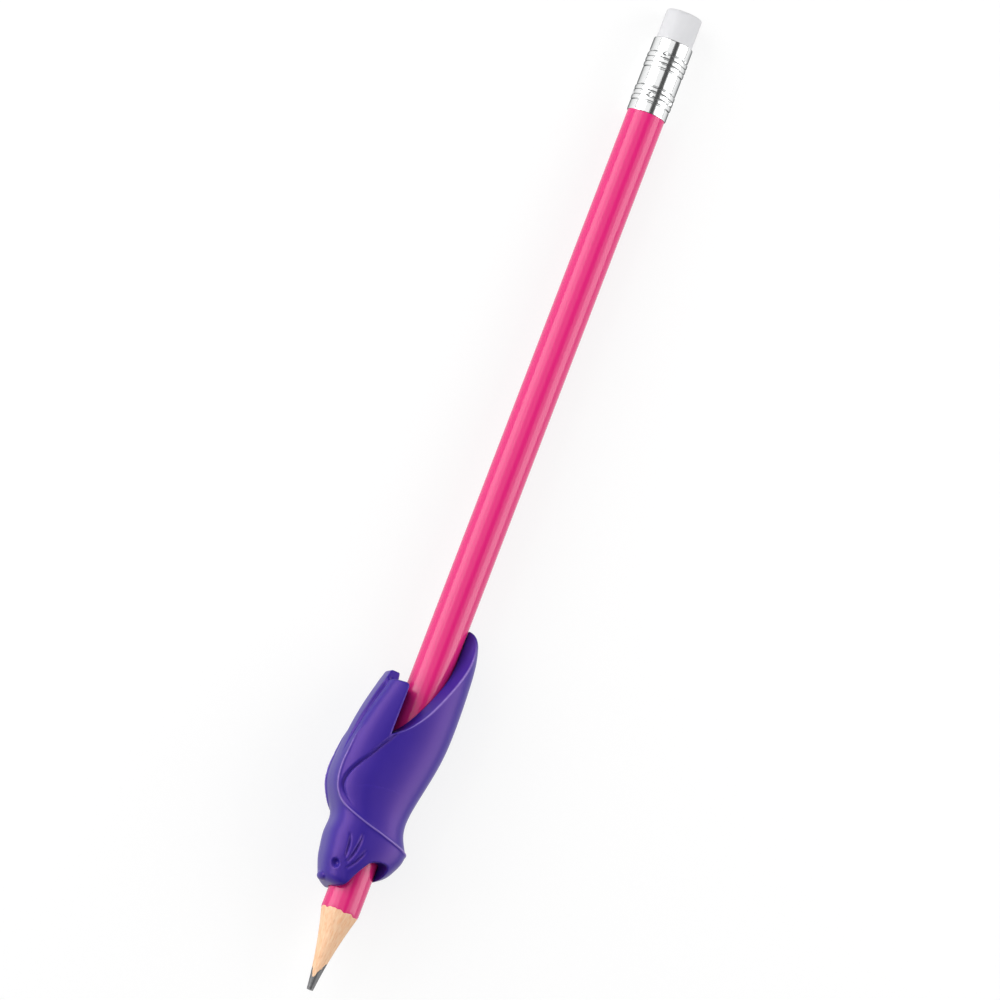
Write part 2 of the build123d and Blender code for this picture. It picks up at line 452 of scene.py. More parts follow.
@dataclass(frozen=True)
class SharpenedGraphite(Finish):
    """Fired graphite and clay, cut by a sharpener: dark grey with a metallic sheen and a scratched grain."""

    name: ClassVar[str] = "graphite_sharpened"
    dark: str = "303032"
    light: str = "5A5A5D"
    scratch: float = 0.35
    scratch_stretch: Triple = (0.45, 1.0, 1.0)
    scratch_height: float = 0.05
    roughness: float = 0.45

    def surface(self, tree: bpy.types.NodeTree) -> bpy.types.Node:
        """Adds the nodes: the scratches are drawn a few times coarser than real ones, so that they show.

        Args:
            tree: The material's empty node tree.

        Returns:
            The shader's node.
        """
        where = add_node(tree, "ShaderNodeTexCoord").outputs["Object"]
        along = add_node(tree, "ShaderNodeMapping", {"Vector": where, "Scale": self.scratch_stretch})
        scratch = add_node(tree, "ShaderNodeTexNoise",
                           {"Vector": along, "Scale": per_metre(self.scratch), "Detail": 4.0,
                            "Roughness": 0.65})
        share = add_node(tree, "ShaderNodeMapRange", {"Value": scratch, "From Min": 0.38, "From Max": 0.68})
        tint = add_node(tree, "ShaderNodeMix",
                        {"Factor": share, "A": srgb(self.dark), "B": srgb(self.light)}, data_type="RGBA")
        bump = add_node(tree, "ShaderNodeBump",
                        {"Height": scratch, "Strength": 0.5, "Distance": self.scratch_height * MM})
        return add_node(tree, "ShaderNodeBsdfPrincipled",
                        {"Base Color": tint, "Roughness": self.roughness, "IOR": 1.9, "Normal": bump})


@dataclass(frozen=True)
class DrawnAluminium(Finish):
    """Aluminium, drawn to a thin tube and rolled: bright mirror-like metal with faint marks round it."""

    name: ClassVar[str] = "aluminium_drawn_bright"
    colour: str = "F4F5F5"
    # Near-black tint of the reflection at grazing angles: painted shade along the tube's sides
    edge: str = "20282A"
    marks: float = 0.25
    marks_stretch: Triple = (1.0, 0.05, 0.05)
    roughness: tuple[float, float] = (0.09, 0.21)

    def surface(self, tree: bpy.types.NodeTree) -> bpy.types.Node:
        """Adds the nodes: the rolling marks run round the tube and only ruffle its gloss.

        Args:
            tree: The material's empty node tree.

        Returns:
            The shader's node.
        """
        where = add_node(tree, "ShaderNodeTexCoord").outputs["Object"]
        round_it = add_node(tree, "ShaderNodeMapping", {"Vector": where, "Scale": self.marks_stretch})
        marks = add_node(tree, "ShaderNodeTexNoise",
                         {"Vector": round_it, "Scale": per_metre(self.marks), "Detail": 3.0})
        rough = add_node(tree, "ShaderNodeMapRange",
                         {"Value": marks, "To Min": self.roughness[0], "To Max": self.roughness[1]})
        # The dark edge tint paints shade into the reflection at the tube's sides
        return add_node(tree, "ShaderNodeBsdfPrincipled",
                        {"Base Color": srgb(self.colour), "Metallic": 1.0, "Specular Tint": srgb(self.edge),
                         "Roughness": rough})


@dataclass(frozen=True)
class MouldedVinyl(Finish):
    """Eraser vinyl, extruded and cut: soft matt white with a fine crumbly tooth and a faint grey bloom."""

    name: ClassVar[str] = "vinyl_eraser_matt"
    white: str = "D8D8DA"
    grey: str = "CFCFD2"
    bloom: float = 3.0
    tooth: float = 0.3
    tooth_height: float = 0.04
    light_depth: float = 1.0
    roughness: float = 0.7

    def surface(self, tree: bpy.types.NodeTree) -> bpy.types.Node:
        """Adds the nodes: light goes a little way into it, so its shadows stay pale.

        Args:
            tree: The material's empty node tree.

        Returns:
            The shader's node.
        """
        where = add_node(tree, "ShaderNodeTexCoord").outputs["Object"]
        bloom = add_node(tree, "ShaderNodeTexNoise",
                         {"Vector": where, "Scale": per_metre(self.bloom), "Detail": 3.0})
        tint = add_node(tree, "ShaderNodeMix",
                        {"Factor": bloom, "A": srgb(self.white), "B": srgb(self.grey)}, data_type="RGBA")
        tooth = add_node(tree, "ShaderNodeTexNoise",
                         {"Vector": where, "Scale": per_metre(self.tooth), "Detail": 3.0})
        bump = add_node(tree, "ShaderNodeBump",
                        {"Height": tooth, "Strength": 0.3, "Distance": self.tooth_height * MM})
        return add_node(tree, "ShaderNodeBsdfPrincipled",
                        {"Base Color": tint, "Roughness": self.roughness, "IOR": 1.5,
                         "Subsurface Weight": 0.2, "Subsurface Radius": (1.0, 1.0, 1.0),
                         "Subsurface Scale": self.light_depth * MM, "Normal": bump})


@dataclass(frozen=True)
class PaperSweep(Finish):
    """Matt white studio paper: an even white ground that still takes a soft shadow."""

    name: ClassVar[str] = "paper_studio_white"
    white: str = "FFFFFF"
    shadow_share: float = 0.2

    def surface(self, tree: bpy.types.NodeTree) -> bpy.types.Node:
        """Adds the nodes: it shows white to the camera and in gloss, less what the shadow takes.

        Args:
            tree: The material's empty node tree.

        Returns:
            The shader's node.
        """
        path = add_node(tree, "ShaderNodeLightPath")
        seen = add_node(tree, "ShaderNodeMath",
                        {0: path.outputs["Is Camera Ray"], 1: path.outputs["Is Glossy Ray"]},
                        operation="MAXIMUM")
        shown = add_node(tree, "ShaderNodeMath",
                         {0: seen, 1: path.outputs["Is Transmission Ray"]}, operation="MAXIMUM")
        lit = add_node(tree, "ShaderNodeMath", {0: shown, 1: 1 - self.shadow_share}, operation="MULTIPLY")
        glow = add_node(tree, "ShaderNodeEmission", {"Color": srgb(self.white), "Strength": lit})
        level = self.shadow_share
        matt = add_node(tree, "ShaderNodeBsdfDiffuse", {"Color": (level, level, level, 1.0)})
        return add_node(tree, "ShaderNodeAddShader", {0: glow, 1: matt})


@dataclass(frozen=True)
class GreyCard(Finish):
    """Grey card, matt: dull and even, so that bright metal mirrors it as a dark stripe."""

    name: ClassVar[str] = "card_matt_grey"
    colour: str = "5C5C5C"

    def surface(self, tree: bpy.types.NodeTree) -> bpy.types.Node:
        """Adds the nodes: one plain grey.

        Args:
            tree: The material's empty node tree.

        Returns:
            The shader's node.
        """
        return add_node(tree, "ShaderNodeBsdfDiffuse", {"Color": srgb(self.colour)})


# The grip

class Relief(Enum):
    """How a line of relief shapes the skin beside it."""

    RIDGE = "crisp crest that falls away on both sides"
    BEAD = "narrow rounded rib"
    GROOVE = "narrow rounded hollow"
    STEP = "edge with the skin lower on its right, easing back up"


@dataclass(frozen=True)
class ReliefLine:
    """A line in the grip's skin: where it runs on the +Z flank, and how high or deep it is along it."""

    relief: Relief
    points: tuple[Triple, ...]
    heights: tuple[float, ...]
    width: float
    reach: float = 1.0


# Paths on the +Z flank that two lines share: along the ear and across the neck, and round the finger's seat
EAR_CREST: tuple[Triple, ...] = (
    (47.6, 9.25, 3.7), (44.7, 9.9, 3.35), (42.2, 10.1, 3.35), (40.1, 10.25, 3.3), (38.2, 10.2, 3.3),
    (36.5, 9.9, 3.25), (35.4, 9.5, 3.2), (34.2, 8.8, 3.3), (33.0, 7.85, 3.85), (32.1, 6.7, 4.7),
    (31.35, 5.2, 5.5), (30.8, 3.7, 5.97), (30.3, 1.7, 6.18), (30.0, 0.2, 6.18), (29.6, -1.5, 5.96),
    (29.2, -3.3, 5.4), (28.8, -5.0, 4.3), (28.6, -6.1, 3.2), (28.5, -7.0, 1.2), (28.4, -7.2, 0.0))
SEAT_EDGE: tuple[Triple, ...] = (
    (47.1, 4.25, 6.2), (45.96, 4.93, 6.14), (44.23, 5.97, 5.98), (42.7, 6.85, 5.78), (41.2, 7.8, 5.45),
    (39.6, 8.7, 4.97), (38.05, 9.3, 4.45), (36.6, 9.41, 4.0), (35.5, 9.15, 3.83), (34.67, 8.63, 3.98),
    (33.85, 7.86, 4.36), (33.17, 7.04, 4.77), (32.66, 6.36, 5.08))


@dataclass
class AnimalGrip:
    """Soft sleeve in the shape of a small animal: head at the tip, two ears, and a tail up the barrel."""

    lip: float = 18.7
    bore_radius: float = 3.58
    voxel: float = 0.15
    path_steps: int = 10

    # Steps that slopes are taken over, and the least values that a distance is worked out from
    table_step: float = 0.05
    field_step: float = 0.02
    least_level: float = 0.05
    least_steep: float = 0.02
    least_slope: float = 0.2

    # Sections: height above the lip, then reach to the front, to the back and to each side
    sections: Table = (
        (-0.1, 5.3, 2.2, 4.3), (0.3, 5.6, 2.2, 4.65), (0.8, 5.85, 2.2, 4.95), (2.3, 6.35, 2.2, 5.3),
        (4.3, 6.95, 4.65, 5.75), (6.5, 7.35, 6.3, 6.05), (9.5, 7.7, 7.2, 6.15), (12.5, 7.7, 5.85, 6.0),
        (15.0, 9.05, 5.3, 5.9), (17.9, 10.45, 5.52, 5.95), (22.1, 10.75, 6.3, 6.05),
        (28.7, 10.25, 7.4, 6.15), (35.7, 8.85, 7.6, 6.15), (42.7, 6.9, 7.3, 5.9),
        (48.5, 5.4, 6.55, 5.3), (52.4, 4.8, 5.3, 4.4))
    # A section is widest at this share of its front reach, less this share of its back reach
    widest_front: float = 0.459
    widest_back: float = 0.375
    # Fullness of a section's corners: 2 is an ellipse, more is squarer
    front_fullness: float = 2.85
    muzzle_fullness: float = 2.0
    muzzle_length: float = 6.0
    back_fullness: float = 2.45
    lip_round: float = 1.2
    lip_slope: float = 0.24
    lip_slope_from: float = 3.4
    tail_round: float = 2.6

    # Rim of the tail: height above the lip, its reach at the side below, and its fall for each mm of side
    rim: Table = (
        (26.0, 9.0, 0.0), (28.0, 5.6, 0.0), (29.2, 3.9, -0.05), (31.3, 2.0, -0.22), (34.3, 0.3, -0.50),
        (37.7, -1.35, -0.58), (40.8, -2.9, -0.55), (44.1, -4.4, -0.56), (46.5, -5.3, -0.62),
        (49.3, -6.0, -0.78), (52.4, -6.3, -0.85))
    rim_side: float = 4.5
    rim_round: float = 0.42

    # Ears: their inner edge at the middle plane and out at the flank, and the ridge between them
    ear_reach: tuple[float, float] = (3.3, 4.95)
    flank_reach: float = 7.0
    ear_length: float = 38.4
    ear_round: float = 0.9
    ridge_length: float = 40.1
    ridge_reach: float = 5.6
    ridge_side: float = 1.45
    ridge_blend: float = 0.4

    # Opening under the chin, and the arch between the chin and the back lobe
    jaw: Table = (
        (-1.5, 7.0), (-0.5, 4.0), (0.0, 2.85), (0.8, 2.15), (1.5, 1.85), (2.7, 1.35), (4.1, 0.65),
        (5.4, -0.15), (6.3, -1.0), (7.5, -2.4))
    arch_height: float = 6.5
    arch_back_reach: tuple[float, float] = (-2.9, -4.9)
    arch_round: float = 1.3
    mouth_round: float = 0.25

    # Nose and eyes
    nose_height: float = 1.25
    nose_reach: float = 5.35
    nose_radius: float = 1.0
    nose_breadth: float = 1.9
    nose_crease: float = 0.10
    eye: Triple = (22.05, 5.4, 4.3)
    eye_radius: float = 0.95
    eye_depth: float = 0.85
    eye_edge: float = 1.15

    lines: tuple[ReliefLine, ...] = (
        # Edge of the ridge between the ears, with a trough beside it
        ReliefLine(Relief.STEP, (
            (57.6, 7.0, 1.8), (55.0, 8.4, 1.8), (52.2, 9.1, 1.75), (47.8, 10.0, 1.6), (44.1, 10.5, 1.5),
            (41.5, 10.8, 1.4)),
            (0.0, 0.7, 0.9, 0.85, 0.78, 0.70, 0.62, 0.54, 0.45, 0.33, 0.22, 0.1, 0.0), 0.35, 1.3),
        # Crest along the ear, round its root and across the neck to the middle of the back
        ReliefLine(Relief.RIDGE, EAR_CREST,
                   (0.0, 0.22, 0.30, 0.34, 0.30, 0.20, 0.14, 0.14, 0.18, 0.24, 0.20), 0.5),
        # Rib along that crest
        ReliefLine(Relief.BEAD, EAR_CREST,
                   (0.0, 0.12, 0.18, 0.20, 0.18, 0.16, 0.16, 0.18, 0.20, 0.18, 0.04), 0.22),
        # Seat for the finger: its edge along the ear, hooked round the ear's root
        ReliefLine(Relief.STEP, SEAT_EDGE,
                   (0.30, 0.40, 0.45, 0.48, 0.42, 0.30, 0.05), 0.30, 3.0),
        # Line drawn along that edge
        ReliefLine(Relief.GROOVE, ((47.9, 3.8, 6.2), *SEAT_EDGE),
                   (0.22, 0.30, 0.30, 0.30, 0.28, 0.20, 0.02), 0.24),
        # Whiskers
        ReliefLine(Relief.GROOVE, ((27.7, 5.1, 5.6), (26.4, 4.7, 5.7), (24.9, 4.5, 5.6), (23.7, 4.36, 5.5)),
                   (0.12, 0.38, 0.44, 0.40, 0.20), 0.24),
        ReliefLine(Relief.GROOVE, ((28.3, 2.95, 6.2), (26.9, 2.92, 6.16), (25.3, 3.13, 6.0),
                                   (23.9, 3.43, 5.76), (22.9, 3.74, 5.47)),
                   (0.12, 0.42, 0.50, 0.44, 0.20), 0.26),
        ReliefLine(Relief.GROOVE, ((25.8, 1.25, 6.15), (24.4, 1.83, 5.98), (23.0, 2.54, 5.66),
                                   (22.0, 3.2, 5.3)),
                   (0.12, 0.36, 0.44, 0.38, 0.20), 0.23),
        # Rib along the outer edge of the tail's rim
        ReliefLine(Relief.BEAD, (
            (47.9, 3.82, 6.12), (49.2, 2.36, 6.16), (50.7, 1.06, 6.17), (52.7, -0.33, 6.12),
            (55.2, -1.62, 5.98), (57.7, -2.71, 5.75), (60.2, -3.72, 5.38), (62.7, -4.58, 4.89),
            (64.7, -5.07, 4.39), (66.7, -5.27, 3.84), (68.2, -5.18, 3.42),
            (69.2, -4.99, 3.08), (70.0, -4.67, 2.64)),
            (0.06, 0.12, 0.14, 0.14, 0.14, 0.12, 0.05), 0.20),
    )

    def field(self, points: np.ndarray) -> np.ndarray:
        """Distance to the grip's main form, below zero inside.

        Args:
            points: Places in millimetres, with coordinates in the last axis.

        Returns:
            About the distance from each place to the skin.
        """
        x, y, side = points[..., 0], points[..., 1], np.abs(points[..., 2])
        form = self.sleeve(x - self.lip, y, side)
        nose = np.sqrt((x - self.lip - self.nose_height) ** 2 + (y - self.nose_reach) ** 2
                       + (side / self.nose_breadth) ** 2)
        form = smooth_min(form, nose - self.nose_radius, self.nose_crease)
        form = smooth_max(form, self.ears_and_tail(x - self.lip, y, side), self.rim_round)
        form = smooth_max(form, -self.under_chin(x - self.lip, y, side), self.mouth_round)
        return smooth_max(form, self.bore_radius - np.hypot(y, side), self.voxel)

    def sleeve(self, height: np.ndarray, y: np.ndarray, side: np.ndarray) -> np.ndarray:
        """Distance to the plain sleeve that the sections describe.

        Args:
            height: Height above the lip.
            y: Reach to the front.
            side: Distance from the middle plane.

        Returns:
            About the distance to the sleeve, below zero inside.
        """
        table = np.array(self.sections)
        reach = spline(table[:, 0], table[:, 1:], height)
        front, back, flank = reach[..., 0], reach[..., 1], reach[..., 2]
        middle = self.widest_front * front - self.widest_back * back
        ahead = y > middle
        span = np.where(ahead, front - middle, back + middle)
        square = smooth_step(height / self.muzzle_length)
        fullness = self.muzzle_fullness + (self.front_fullness - self.muzzle_fullness) * square
        power = np.where(ahead, fullness, self.back_fullness)
        across = np.abs(y - middle) / span
        out = side / flank
        level = np.maximum((across ** power + out ** power) ** (1 / power), self.least_level)
        steep = level ** (1 - power) * np.hypot(across ** (power - 1) / span, out ** (power - 1) / flank)
        wall = (level - 1) / np.maximum(steep, self.least_steep)
        lip = table[0, 0] + self.lip_slope * np.maximum(y - self.lip_slope_from, 0)
        wall = smooth_max(wall, lip - height, self.lip_round)
        return smooth_max(wall, height - table[-1, 0], self.tail_round)

    def ears_and_tail(self, height: np.ndarray, y: np.ndarray, side: np.ndarray) -> np.ndarray:
        """Distance to what the notch leaves: the tail under its curved rim, and the ears with their ridge.

        Args:
            height: Height above the lip.
            y: Reach to the front.
            side: Distance from the middle plane.

        Returns:
            About the distance to the ears or the tail, below zero inside either.
        """
        table = np.array(self.rim)
        step = self.table_step
        at_side = [spline(table[:, 0], table[:, 1:], height + shift) for shift in (-step, step)]
        low, high = [row[..., 0] + row[..., 1] * (side - self.rim_side) for row in at_side]
        fall = (at_side[0][..., 1] + at_side[1][..., 1]) / 2
        tail = (y - (low + high) / 2) / np.sqrt(1 + ((high - low) / (2 * step)) ** 2 + fall ** 2)
        inner, outer = self.ear_reach
        edge = inner + (outer - inner) * side / self.flank_reach
        above = smooth_step((y - self.ridge_reach) / self.ridge_blend)
        within = 1 - smooth_step((side - self.ridge_side) / self.ridge_blend)
        end = self.ear_length + (self.ridge_length - self.ear_length) * above * within
        ears = smooth_max(edge - y, height - end, self.ear_round)
        return smooth_min(tail, ears, self.voxel)

    def under_chin(self, height: np.ndarray, y: np.ndarray, side: np.ndarray) -> np.ndarray:
        """Distance to the opening that the barrel comes out of, below zero in the opening.

        Args:
            height: Height above the lip.
            y: Reach to the front.
            side: Distance from the middle plane.

        Returns:
            About the distance to the opening.
        """
        table = np.array(self.jaw)
        step = self.table_step
        low, high = [spline(table[:, 0], table[:, 1:], height + shift)[..., 0] for shift in (-step, step)]
        jaw = (y - (low + high) / 2) / np.hypot(1, (high - low) / (2 * step))
        top = smooth_max(jaw, height - self.arch_height, self.arch_round)
        inner, outer = self.arch_back_reach
        lean = (outer - inner) / self.flank_reach
        return smooth_max(top, (inner + lean * side - y) / math.hypot(1, lean), self.arch_round)

    def slope(self, points: np.ndarray) -> np.ndarray:
        """Gradient of the field, by central differences.

        Args:
            points: Places in millimetres.

        Returns:
            The gradient at each place.
        """
        step = self.field_step
        rises = [self.field(points + shift) - self.field(points - shift) for shift in np.eye(3) * step]
        return np.stack(rises, axis=-1) / (2 * step)

    def onto_skin(self, points: np.ndarray, rounds: int = 4) -> np.ndarray:
        """Moves points onto the main form's skin by Newton's method.

        Args:
            points: Points near the skin.
            rounds: How many steps to take.

        Returns:
            The points on the skin.
        """
        for _ in range(rounds):
            slope = self.slope(points)
            steep = np.maximum((slope ** 2).sum(-1, keepdims=True), self.least_slope)
            move = -self.field(points)[:, None] * slope / steep
            points = points + np.clip(move, -self.voxel, self.voxel)
        return points

    def net(self) -> tuple[np.ndarray, np.ndarray]:
        """Covers the main form with a net of small faces.

        Returns:
            The points on the skin and the faces, four corners each.
        """
        table = np.array(self.sections)
        margin = 4 * self.voxel
        low = np.array([self.lip + table[0, 0], -table[:, 2].max(), -table[:, 3].max()]) - margin
        high = np.array([self.lip + table[-1, 0], table[:, 1].max(), table[:, 3].max()]) + margin
        counts = np.ceil((high - low) / self.voxel).astype(int) + 1
        axes = [low[k] + self.voxel * np.arange(counts[k]) for k in range(3)]
        distance = self.field(np.stack(np.meshgrid(*axes, indexing="ij"), axis=-1))
        grid = openvdb.FloatGrid()
        grid.copyFromArray(np.ascontiguousarray(distance, dtype=np.float32))
        points, quads = grid.convertToQuads(isovalue=0.0)
        return self.onto_skin(low + self.voxel * points.astype(float)), quads

    def relief(self, points: np.ndarray, outward: np.ndarray) -> tuple[np.ndarray, np.ndarray]:
        """Height of all lines and of the eyes at points of the skin.

        Args:
            points: Points on the skin.
            outward: The skin's direction at each.

        Returns:
            How far each point stands out, in millimetres, and how near it is to the top of a rib, up to 1.
        """
        # The far flank is the near one's mirror image
        flank = np.ones_like(points)
        flank[:, 2] = np.where(points[:, 2] < 0, -1.0, 1.0)
        points, outward = points * flank, outward * flank
        total = np.zeros(len(points))
        crest = np.zeros(len(points))
        for line in self.lines:
            path = self.onto_skin(smooth_path(line.points, self.path_steps * len(line.points)))
            height = self.line_height(line, path, points, outward)
            total += height
            if line.relief is Relief.BEAD:
                crest = np.maximum(crest, height / max(line.heights))
        eye = self.onto_skin(np.array([self.eye]))[0]
        off = np.linalg.norm(points - eye, axis=1) / self.eye_radius
        return total - self.eye_depth * smooth_step(self.eye_edge - off), crest

    def line_height(self, line: ReliefLine, path: np.ndarray, points: np.ndarray,
                    outward: np.ndarray) -> np.ndarray:
        """Height of one line at points of the skin.

        Args:
            line: The line.
            path: Its samples on the skin.
            points: Points on the skin of the +Z flank.
            outward: The skin's direction at each.

        Returns:
            How far the line raises each point.
        """
        nearest = np.full(len(points), np.inf)
        share = np.zeros(len(points))
        right = np.zeros(len(points))
        for k, (start, run) in enumerate(zip(path[:-1], np.diff(path, axis=0))):
            from_start = points - start
            along = np.clip(from_start @ run / (run @ run), 0, 1)
            off = from_start - along[:, None] * run
            distance = np.linalg.norm(off, axis=1)
            closer = distance < nearest
            nearest = np.where(closer, distance, nearest)
            share = np.where(closer, (k + along) / (len(path) - 1), share)
            right = np.where(closer, np.sign((np.cross(run, off) * outward).sum(-1)), right)
        height = np.interp(share, np.linspace(0, 1, len(line.heights)), line.heights)
        if line.relief is Relief.RIDGE:
            return height * np.exp(-nearest / line.width)
        if line.relief in (Relief.BEAD, Relief.GROOVE):
            return (height if line.relief is Relief.BEAD else -height) * np.exp(-(nearest / line.width) ** 2)
        signed = nearest * right
        return -height * smooth_step(signed / line.width + 0.5) * np.exp(-np.maximum(signed, 0) / line.reach)

    def build(self) -> None:
        """Makes the grip's mesh and dresses it."""
        points, quads = self.net()
        slope = self.slope(points)
        outward = slope / np.linalg.norm(slope, axis=1, keepdims=True)
        height, crest = self.relief(points, outward)
        points = points + outward * height[:, None]
        piece = mesh_piece("moulded_grip", points, quads[:, ::-1].tolist())
        # How near each vertex is to a rib's top, where the finish paints a highlight
        piece.data.attributes.new(CREST, "FLOAT", "POINT").data.foreach_set("value", crest)
        place(piece, "grip", MouldedElastomer().material(), "grip")


# The pencil

@dataclass
class Pencil:
    """Round wood-cased pencil: graphite core, two glued casing halves, lacquer, crimped ferrule, eraser."""

    length: float = 190.0
    barrel_radius: float = 3.5
    lacquer: float = 0.12
    core_radius: float = 1.1
    turns: int = 240
    crease: float = 40.0

    # Sharpened cone, a little hollow between its tip and the paint, and the nicks along the paint's edge
    point_length: float = 15.2
    point_hollow: float = 0.35
    tip_radius: float = 0.6
    cone_rings: int = 48
    paint_waves: Table = ((0.10, 2, 0.6), (0.10, 7, 1.0), (0.09, 11, 0.0), (0.06, 19, 2.0))
    paint_drop: float = 0.015
    paint_round: float = 0.08

    # Lead that shows, and the tongue of wood that runs down over it, at an angle about X from +Y
    lead_shown: float = 4.9
    lead_rings: int = 24
    lead_slant: float = 0.9
    lead_slant_turn: float = -23.0
    lead_waves: Table = ((0.12, 9, 0.4), (0.09, 23, 0.0))
    tongue_angle: float = 50.0
    tongue_length: float = 2.4
    tongue_narrow: float = 26.0
    tongue_wide: float = 70.0

    # Stations past which the core and the barrel are straight, and one halfway along the barrel
    core_straight: float = 8.0
    barrel_straight: float = 20.0
    barrel_middle: float = 95.0

    ferrule_start: float = 170.2
    ferrule_end: float = 184.2
    ferrule_radius: float = 3.66
    ferrule_wall: float = 0.28
    ferrule_rings: int = 281
    ferrule_lip_drop: float = 0.05
    ferrule_lip_length: float = 0.06

    # Rolled beads, as the stations of the first groove of each set, and pricks that hold the tube on
    bead_sets: tuple[float, float] = (172.2, 178.65)
    bead_count: int = 3
    bead_pitch: float = 0.95
    bead_height: float = 0.10
    groove_depth: float = 0.17
    groove_width: float = 0.14
    prick_rings: tuple[float, float] = (173.4, 181.4)
    prick_count: int = 5
    prick_turn: float = -10.5
    prick_radius: float = 0.46
    prick_depth: float = 0.20
    prick_wall: float = 0.55

    # Tenon of wood and plug of rubber inside the ferrule, and the eraser's softened end
    tenon_end: float = 177.2
    plug_radius: float = 3.36
    eraser_start: float = 177.3
    eraser_rings: int = 12
    eraser_edge: float = 0.35
    eraser_bends: int = 8
    eraser_dome: float = 0.06
    worn_waves: Table = ((0.012, 5, 1.0), (0.010, 9, 0.0))
    worn_off: float = 0.022

    @property
    def wood_radius(self) -> float:
        """Radius of the wood under the lacquer."""
        return self.barrel_radius - self.lacquer

    def cone(self, share: np.ndarray) -> np.ndarray:
        """Radius of the sharpened cone at a share of its length from the tip to the paint."""
        swell = (self.barrel_radius - self.tip_radius) * share
        return self.tip_radius + swell - 4 * self.point_hollow * share * (1 - share)

    def paint_edge(self, angles: np.ndarray) -> np.ndarray:
        """Station where the sharpened cone leaves the lacquer: a gentle wave with small nicks."""
        return self.point_length + waves(angles, self.paint_waves)

    def wood_edge(self, angles: np.ndarray) -> np.ndarray:
        """Station where the sharpened cone reaches the lacquer's inner face."""
        share = np.linspace(0.5, 1, 200)
        return self.paint_edge(angles) * np.interp(self.wood_radius, self.cone(share), share)

    def lead_edge(self, angles: np.ndarray) -> np.ndarray:
        """Station where the sharpened cone goes from lead to wood.

        Args:
            angles: Angles about X.

        Returns:
            The station at each angle.
        """
        off = (np.degrees(angles) - self.tongue_angle + 180) % 360 - 180
        spread = np.where(off < 0, self.tongue_narrow, self.tongue_wide)
        slant = self.lead_slant * np.sin(np.radians(off + self.lead_slant_turn))
        tongue = self.tongue_length * np.exp(-(off / spread) ** 2)
        return self.lead_shown + slant - tongue + waves(angles, self.lead_waves)

    def core_profiles(self, angles: np.ndarray) -> np.ndarray:
        """Profile of the core: its sharpened point, then the rod inside the wood.

        Args:
            angles: Angles about X.

        Returns:
            For each angle, the profile's points as station and radius.
        """
        edge, paint = self.lead_edge(angles), self.paint_edge(angles)
        stations = [edge * share for share in np.linspace(0, 1, self.lead_rings)]
        point = [(station, self.cone(station / paint)) for station in stations]
        rod = [(self.core_straight, self.core_radius), (self.tenon_end, self.core_radius)]
        return profile_at(angles, [(0.0, 0.0), *point, *rod, (self.tenon_end, 0.0)])

    def casing_profiles(self, angles: np.ndarray) -> np.ndarray:
        """Profile of the casing: the sharpened cone, the barrel, the tenon and the core's groove.

        Args:
            angles: Angles about X.

        Returns:
            For each angle, the profile's points as station and radius.
        """
        lead, paint, wood = self.lead_edge(angles), self.paint_edge(angles), self.wood_edge(angles)
        stations = [lead + (wood - lead) * share for share in np.linspace(0, 1, self.cone_rings)]
        cone = [(station, self.cone(station / paint)) for station in stations]
        barrel = [(self.barrel_straight, self.wood_radius), (self.ferrule_start, self.wood_radius)]
        tenon = [(self.ferrule_start, self.plug_radius), (self.tenon_end, self.plug_radius)]
        groove = [(self.tenon_end, self.core_radius), (self.core_straight, self.core_radius)]
        return profile_at(angles, cone + barrel + tenon + groove)

    def lacquer_profiles(self, angles: np.ndarray) -> np.ndarray:
        """Profile of the lacquer: its cut edge on the cone, then the coat up to the ferrule.

        Args:
            angles: Angles about X.

        Returns:
            For each angle, the profile's points as station and radius.
        """
        paint = self.paint_edge(angles)
        edge = [(self.wood_edge(angles), self.wood_radius), (paint, self.barrel_radius - self.paint_drop),
                (paint + self.paint_round, self.barrel_radius)]
        outside = [(station, self.barrel_radius)
                   for station in (self.barrel_straight, self.barrel_middle, self.ferrule_start)]
        inside = [(station, self.wood_radius) for station in (self.ferrule_start, self.barrel_straight)]
        return profile_at(angles, edge + outside + inside)

    def ferrule_profiles(self, angles: np.ndarray) -> np.ndarray:
        """Profile of the ferrule: beads rolled outwards, pricks pressed in, and a thin lip at each end.

        Args:
            angles: Angles about X.

        Returns:
            For each angle, the profile's points as station and radius.
        """
        stations = np.linspace(self.ferrule_start, self.ferrule_end, self.ferrule_rings)
        outside = np.full((len(angles), len(stations)), self.ferrule_radius)
        for first in self.bead_sets:
            last = first + self.bead_count * self.bead_pitch
            outside += np.where((stations > first) & (stations < last), self.bead_height, 0)
            for k in range(self.bead_count + 1):
                off = (stations - first - k * self.bead_pitch) / self.groove_width
                outside -= self.groove_depth * np.exp(-off ** 2)
        for ring in self.prick_rings:
            for k in range(self.prick_count):
                turn = math.radians(self.prick_turn + 360 / self.prick_count * k)
                round_it = (angles - turn + math.pi) % (2 * math.pi) - math.pi
                off = np.hypot(round_it[:, None] * self.ferrule_radius, stations - ring) / self.prick_radius
                outside -= self.prick_depth * smooth_step((1 - off) / self.prick_wall)
        to_lip = np.minimum(stations - self.ferrule_start, self.ferrule_end - stations)
        outside -= self.ferrule_lip_drop * np.exp(-to_lip / self.ferrule_lip_length)
        tube = zip(stations, outside.T)
        inside = self.ferrule_radius - self.ferrule_wall
        return profile_at(angles, [*tube, (self.ferrule_end, inside), (self.ferrule_start, inside)])

